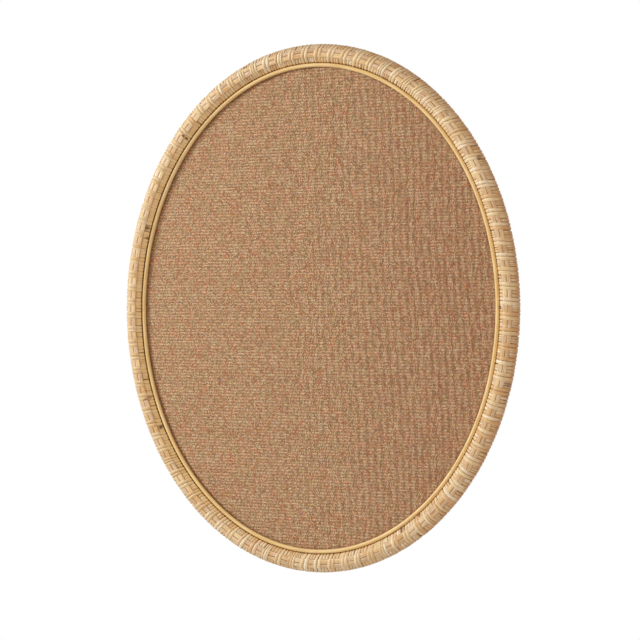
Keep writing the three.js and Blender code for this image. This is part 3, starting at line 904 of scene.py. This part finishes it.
def stretch_cloth(skin):
    """The cloth over the panel: flat in front, down round the edge, and glued behind in a hem."""
    step = RING_LENGTH / CLOTH_STEPS
    deselect_all()
    bpy.ops.mesh.primitive_plane_add(size=step, location=(step / 2, 0, 0))
    piece = bpy.context.object
    piece.name = "cloth"
    apply_place(piece)
    in_edit_mode(piece, lambda place: place.y > 0)
    bpy.ops.mesh.delete(type="VERT")
    out_of_edit_mode()
    piece.location = (0, step / 2 - PANEL_INSET, CLOTH_FORWARD)
    apply_place(piece)
    repeat_along(piece, CLOTH_STEPS, 0)
    in_edit_mode(piece, everywhere)
    bpy.ops.mesh.extrude_region_move(TRANSFORM_OT_translate={"value": (0, 0, CLOTH_BACK - CLOTH_FORWARD)})
    bpy.ops.mesh.extrude_region_move(TRANSFORM_OT_translate={"value": (0, -CLOTH_HEM, 0)})
    out_of_edit_mode()
    bend_round_oval(piece)
    in_edit_mode(piece, everywhere)
    bpy.ops.mesh.remove_doubles(threshold=BENT_SEAM)
    out_of_edit_mode()

    front = RING_CENTRE[1] - CLOTH_FORWARD
    in_edit_mode(piece, lambda place: abs(place.y - front) < IN_FRONT)
    bpy.ops.mesh.edge_face_add()
    bpy.ops.mesh.select_all(action="SELECT")
    bpy.ops.mesh.normals_make_consistent(inside=False)
    out_of_edit_mode()
    thickness = piece.modifiers.new("thickness", "SOLIDIFY")
    thickness.thickness = CLOTH_THICKNESS
    thickness.offset = -1
    apply_modifiers(piece)
    cover(piece, skin)
    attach(piece, "board")
    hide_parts("cloth_cover")


# Pieces

bind_ring(cane_skin())
lay_splint(
    "splint_inner", -INNER_SPLINT_WIDTH - SPLINT_GAP, INNER_SPLINT_WIDTH,
    splint_skin("inner_splint_skin", (236, 207, 156), (212, 166, 108), (208, 176, 144)), "inner_splint",
)
lay_splint(
    "splint_outer", SPLINT_GAP, OUTER_SPLINT_WIDTH,
    splint_skin("outer_splint_skin", (224, 196, 158), (194, 156, 116), (218, 180, 126)), "outer_splint",
)
reed = reed_skin()
for number in range(1, len(BEAD_JOINTS) + 1):
    bend_bead(number, reed)
stretch_cloth(woven_cloth())
bpy.data.objects.remove(guide)

# Finishes of the pieces that keep their CAD form, by the start of their names
finishes = {
    "core_": sawn_wood("ring_wood_finish", (214, 178, 124), (176, 132, 84)),
    "dowel_": sawn_wood("dowel_wood_finish", (224, 194, 146), (192, 152, 104)),
    "cork_": ground_cork(),
    "backing_": thin_plywood(),
    "panel_tab_": plated_steel("spring_steel_finish", (186, 186, 182), 0.3),
    "hanger_": plated_steel("zinc_plate", (206, 206, 202), 0.34),
    "felt_": pressed_felt(),
}
for name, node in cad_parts.items():
    for start, finish in finishes.items():
        if name.startswith(start):
            for held in node.material_slots:
                held.material = finish


# Studio

def look(thing, target):
    thing.rotation_euler = (target - thing.location).to_track_quat("-Z", "Y").to_euler()


def lamp(name, place, width, height, power, colour):
    """A rectangular light that looks at the board's middle."""
    light = bpy.data.lights.new(name, "AREA")
    light.shape = "RECTANGLE"
    light.size = width
    light.size_y = height
    light.energy = power
    light.color = colour
    thing = bpy.data.objects.new(name, light)
    bpy.context.collection.objects.link(thing)
    thing.location = place
    look(thing, MIDDLE)


lamp("key", (-1.86, -1.08, 0.55), width=0.55, height=0.7, power=44, colour=(0.92, 1.0, 1.05))
lamp("fill", (1.5, -1.7, 0.1), width=1.4, height=1.4, power=10, colour=(1.0, 0.8, 0.6))
lamp("back", (-1.2, 1.9, 0.3), width=0.8, height=0.8, power=22, colour=(1.0, 0.97, 0.92))

camera_data = bpy.data.cameras.new("camera")
camera_data.sensor_width = 36
camera_data.lens = CAMERA_LENS
camera = bpy.data.objects.new("camera", camera_data)
bpy.context.collection.objects.link(camera)
back = Vector((math.sin(CAMERA_AZIMUTH), -math.cos(CAMERA_AZIMUTH), 0))
right = Vector((math.cos(CAMERA_AZIMUTH), math.sin(CAMERA_AZIMUTH), 0))
camera.location = MIDDLE + back * CAMERA_DISTANCE
look(camera, MIDDLE + right * AIM_RIGHT + Vector((0, 0, AIM_UP)))
bpy.context.scene.camera = camera

# Surroundings: white where they are seen, directly or in a reflection, and warmer and dimmer as light
world = bpy.data.worlds.new("studio")
bpy.context.scene.world = world
world.use_nodes = True
tree = world.node_tree
tree.nodes.clear()
rays = tree.nodes.new("ShaderNodeLightPath")
share_seen = rays.outputs["Is Camera Ray"]
for kind in ("Is Glossy Ray", "Is Transmission Ray"):
    either = tree.nodes.new("ShaderNodeMath")
    either.operation = "ADD"
    either.use_clamp = True
    tree.links.new(share_seen, either.inputs[0])
    tree.links.new(rays.outputs[kind], either.inputs[1])
    share_seen = either.outputs[0]
lit = tree.nodes.new("ShaderNodeBackground")
lit.inputs["Color"].default_value = (1.0, 0.86, 0.76, 1)
lit.inputs["Strength"].default_value = 0.467
seen = tree.nodes.new("ShaderNodeBackground")
seen.inputs["Color"].default_value = (1, 1, 1, 1)
choose = tree.nodes.new("ShaderNodeMixShader")
surround = tree.nodes.new("ShaderNodeOutputWorld")
tree.links.new(share_seen, choose.inputs[0])
tree.links.new(lit.outputs[0], choose.inputs[1])
tree.links.new(seen.outputs[0], choose.inputs[2])
tree.links.new(choose.outputs[0], surround.inputs["Surface"])

deselect_all()
bpy.ops.mesh.primitive_circle_add(vertices=96, radius=1.0, fill_type="NGON", location=(0, 0, FLOOR_HEIGHT))
floor = bpy.context.object
floor.name = "floor"
pale = Finish("pale_floor", roughness=0.8)
pale.shader.inputs["Base Color"].default_value = (0.8, 0.8, 0.8, 1)
floor.data.materials.append(pale.material)

bpy.context.scene.view_settings.view_transform = "Standard"
